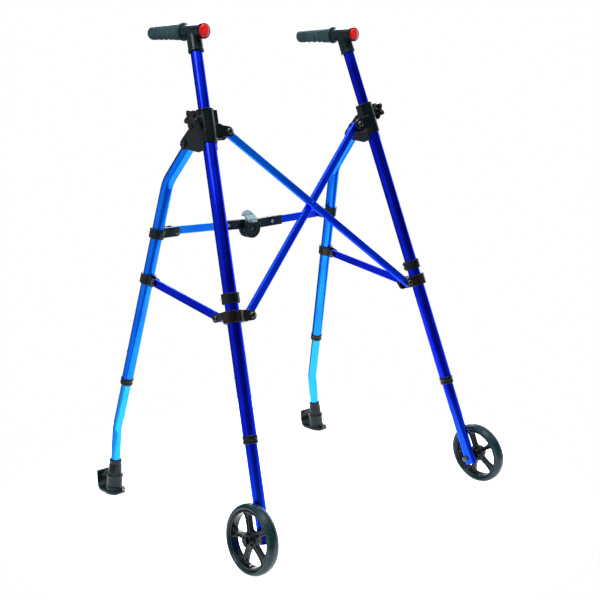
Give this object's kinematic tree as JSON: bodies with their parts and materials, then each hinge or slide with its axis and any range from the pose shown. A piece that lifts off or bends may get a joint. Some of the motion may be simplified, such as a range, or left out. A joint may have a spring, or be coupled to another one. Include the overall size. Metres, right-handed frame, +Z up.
{
  "type": "walking frame",
  "caption": "Folding walking frame with a scissor brace between raked front legs, a hinged rear crossbar, front wheels, rear skid feet and adjustable hand grips.",
  "frame": {"origin": "centre of the bounding box at floor level", "axes": "+Z up, +X to the user's left, +Y towards the user, who stands behind the frame and pushes towards -Y"},
  "size_m": [0.6544, 0.5829, 0.9361],
  "materials": {
    "navy_tube": "anodised, glossy",
    "blue_tube": "anodised, glossy",
    "sky_tube": "anodised, glossy",
    "black_plastic": "moulded, fine texture",
    "grip_rubber": "soft, satin",
    "tyre_rubber": "satin rubber",
    "steel": "plated",
    "red_lens": "clear red, glossy"
  },
  "bodies": {
    "left_frame": {"left_brace_bolt": "black_plastic", "left_clamp_bracket": "black_plastic", "left_front_leg_collar": "black_plastic", "left_front_leg_tube": "navy_tube", "left_rear_pivot_bolt": "black_plastic", "left_stop_collar": "black_plastic"},
    "back_brace": {"back_brace_bar": "blue_tube", "brace_rivet": "steel"},
    "front_brace": {"front_brace_bar": "blue_tube"},
    "right_frame": {"right_brace_bolt": "black_plastic", "right_clamp_bracket": "black_plastic", "right_front_leg_collar": "black_plastic", "right_front_leg_tube": "navy_tube", "right_rear_pivot_bolt": "black_plastic", "right_stop_collar": "black_plastic"},
    "left_slider": {"left_slider": "black_plastic"},
    "right_slider": {"right_slider": "black_plastic"},
    "right_crossbar": {"back_hub_plate": "black_plastic", "right_crossbar_bar": "sky_tube"},
    "left_crossbar": {"front_hub_plate": "black_plastic", "left_crossbar_bar": "sky_tube"},
    "left_front_extension": {"left_axle_bolt": "black_plastic", "left_front_leg_extension": "navy_tube"},
    "left_knob": {"left_clamp_knob": "black_plastic"},
    "left_rear_leg": {"left_crossbar_bracket": "black_plastic", "left_link_bracket": "black_plastic", "left_rear_leg_collar": "black_plastic", "left_rear_leg_tube": "blue_tube"},
    "left_rear_extension": {"left_foot_ferrule": "black_plastic", "left_rear_leg_extension": "sky_tube", "left_skid_foot": "black_plastic"},
    "left_front_button": {"left_front_snap_button": "steel"},
    "left_handle": {"left_grip": "grip_rubber", "left_handle_post": "navy_tube", "left_handle_tee": "black_plastic", "left_reflector": "red_lens"},
    "left_rear_button": {"left_rear_snap_button": "steel"},
    "left_side_link": {"left_side_link": "blue_tube"},
    "left_wheel": {"left_tyre": "tyre_rubber", "left_wheel_rim": "black_plastic"},
    "release_button": {"release_button": "grip_rubber"},
    "right_front_extension": {"right_axle_bolt": "black_plastic", "right_front_leg_extension": "navy_tube"},
    "right_knob": {"right_clamp_knob": "black_plastic"},
    "right_rear_leg": {"right_crossbar_bracket": "black_plastic", "right_link_bracket": "black_plastic", "right_rear_leg_collar": "black_plastic", "right_rear_leg_tube": "blue_tube"},
    "right_rear_extension": {"right_foot_ferrule": "black_plastic", "right_rear_leg_extension": "sky_tube", "right_skid_foot": "black_plastic"},
    "right_front_button": {"right_front_snap_button": "steel"},
    "right_handle": {"right_grip": "grip_rubber", "right_handle_post": "navy_tube", "right_handle_tee": "black_plastic", "right_reflector": "red_lens"},
    "right_rear_button": {"right_rear_snap_button": "steel"},
    "right_side_link": {"right_side_link": "blue_tube"},
    "right_wheel": {"right_tyre": "tyre_rubber", "right_wheel_rim": "black_plastic"}
  },
  "joints": [
    {"name": "frame_fold", "type": "hinge", "parent": "left_frame", "child": "back_brace", "pos_m": [0.1683, -0.00201, 0.7383], "axis": [0, -0.9483, 0.3173], "range_deg": [0, 41.4]},
    {"name": "brace_scissor", "type": "hinge", "parent": "back_brace", "child": "front_brace", "pos_m": [0, -0.04955, 0.59623], "axis": [0, 0.9483, -0.3173], "range_deg": [0, 71.99]},
    {"name": "right_frame_fold", "type": "hinge", "parent": "front_brace", "child": "right_frame", "pos_m": [-0.1683, -0.00201, 0.7383], "axis": [0, -0.9483, 0.3173], "range_deg": [0, 41.42]},
    {"name": "left_slider_turn", "type": "hinge", "parent": "front_brace", "child": "left_slider", "pos_m": [0.2083, -0.10839, 0.4204], "axis": [0, -0.9483, 0.3173], "range_deg": [0, 30.59]},
    {"name": "right_slider_turn", "type": "hinge", "parent": "back_brace", "child": "right_slider", "pos_m": [-0.2083, -0.10839, 0.4204], "axis": [0, 0.9483, -0.3173], "range_deg": [0, 30.59]},
    {"name": "left_rear_leg_fold", "type": "hinge", "parent": "left_frame", "child": "left_rear_leg", "pos_m": [0.21096, 0.04772, 0.7185], "axis": [-0.9945, 0, -0.105], "range_deg": [0, 27.24]},
    {"name": "left_side_link_fold", "type": "hinge", "parent": "left_rear_leg", "child": "left_side_link", "pos_m": [0.2394, 0.13966, 0.44904], "axis": [0.9945, 0, 0.105], "range_deg": [0, 71.48]},
    {"name": "left_crossbar_fold", "type": "hinge", "parent": "left_rear_leg", "child": "left_crossbar", "pos_m": [0.192, 0.13944, 0.5455], "axis": [0, 1, 0], "range_deg": [0, 70.89]},
    {"name": "right_rear_leg_fold", "type": "hinge", "parent": "right_frame", "child": "right_rear_leg", "pos_m": [-0.21096, 0.04772, 0.7185], "axis": [-0.9945, 0, 0.105], "range_deg": [0, 27.24]},
    {"name": "right_side_link_fold", "type": "hinge", "parent": "right_rear_leg", "child": "right_side_link", "pos_m": [-0.2394, 0.13966, 0.44904], "axis": [0.9945, 0, -0.105], "range_deg": [0, 71.48]},
    {"name": "right_crossbar_fold", "type": "hinge", "parent": "right_rear_leg", "child": "right_crossbar", "pos_m": [-0.192, 0.13944, 0.5455], "axis": [0, -1, 0], "range_deg": [0, 70.89]},
    {"name": "left_handle_height", "type": "slide", "parent": "left_frame", "child": "left_handle", "axis": [-0.0996, 0.3158, 0.9436], "range_m": [-0.05, 0.1]},
    {"name": "left_clamp_knob_turn", "type": "hinge", "parent": "left_frame", "child": "left_knob", "pos_m": [0.20627, 0.00626, 0.763], "axis": [0.9945, 0, 0.105], "range_deg": [0, 360]},
    {"name": "left_front_leg_length", "type": "slide", "parent": "left_frame", "child": "left_front_extension", "axis": [0.0996, -0.3158, -0.9436], "range_m": [0, 0.075]},
    {"name": "left_front_button_press", "type": "slide", "parent": "left_frame", "child": "left_front_button", "axis": [-0.7266, -0.6709, 0.1478], "range_m": [0, 0.0025], "stiffness_N_per_m": 800, "springref_m": -0.002},
    {"name": "left_wheel_spin", "type": "hinge", "parent": "left_front_extension", "child": "left_wheel", "pos_m": [0.28054, -0.22922, 0.05932], "axis": [0.9945, 0, 0.105], "continuous": true},
    {"name": "left_rear_leg_length", "type": "slide", "parent": "left_rear_leg", "child": "left_rear_extension", "axis": [0.1016, 0.2496, -0.963], "range_m": [0, 0.075]},
    {"name": "left_rear_button_press", "type": "slide", "parent": "left_rear_leg", "child": "left_rear_button", "axis": [-0.6847, -0.6847, -0.2498], "range_m": [0, 0.0025], "stiffness_N_per_m": 800, "springref_m": -0.002},
    {"name": "right_handle_height", "type": "slide", "parent": "right_frame", "child": "right_handle", "axis": [0.0996, 0.3158, 0.9436], "range_m": [-0.05, 0.1]},
    {"name": "right_clamp_knob_turn", "type": "hinge", "parent": "right_frame", "child": "right_knob", "pos_m": [-0.20627, 0.00626, 0.763], "axis": [0.9945, 0, -0.105], "range_deg": [0, 360]},
    {"name": "right_front_leg_length", "type": "slide", "parent": "right_frame", "child": "right_front_extension", "axis": [-0.0996, -0.3158, -0.9436], "range_m": [0, 0.075]},
    {"name": "right_front_button_press", "type": "slide", "parent": "right_frame", "child": "right_front_button", "axis": [0.7266, -0.6709, 0.1478], "range_m": [0, 0.0025], "stiffness_N_per_m": 800, "springref_m": -0.002},
    {"name": "right_wheel_spin", "type": "hinge", "parent": "right_front_extension", "child": "right_wheel", "pos_m": [-0.28054, -0.22922, 0.05932], "axis": [0.9945, 0, -0.105], "continuous": true},
    {"name": "right_rear_leg_length", "type": "slide", "parent": "right_rear_leg", "child": "right_rear_extension", "axis": [-0.1016, 0.2496, -0.963], "range_m": [0, 0.075]},
    {"name": "right_rear_button_press", "type": "slide", "parent": "right_rear_leg", "child": "right_rear_button", "axis": [0.6847, -0.6847, -0.2498], "range_m": [0, 0.0025], "stiffness_N_per_m": 800, "springref_m": -0.002},
    {"name": "release_button_press", "type": "slide", "parent": "right_crossbar", "child": "release_button", "axis": [0, 0, -1], "range_m": [0, 0.0029], "stiffness_N_per_m": 900, "springref_m": -0.002}
  ],
  "couplings": [
    {"joint": "brace_scissor", "follows": "frame_fold", "ratio": 1.7383},
    {"joint": "right_frame_fold", "follows": "frame_fold", "ratio": 1},
    {"joint": "left_slider_turn", "follows": "frame_fold", "ratio": 0.7383},
    {"joint": "right_slider_turn", "follows": "frame_fold", "ratio": 0.7383},
    {"joint": "left_rear_leg_fold", "follows": "frame_fold", "ratio": 0.6574},
    {"joint": "left_side_link_fold", "follows": "frame_fold", "ratio": 1.726},
    {"joint": "left_crossbar_fold", "follows": "frame_fold", "ratio": 1.7118},
    {"joint": "right_rear_leg_fold", "follows": "frame_fold", "ratio": 0.6574},
    {"joint": "right_side_link_fold", "follows": "frame_fold", "ratio": 1.726},
    {"joint": "right_crossbar_fold", "follows": "frame_fold", "ratio": 1.7118}
  ]
}
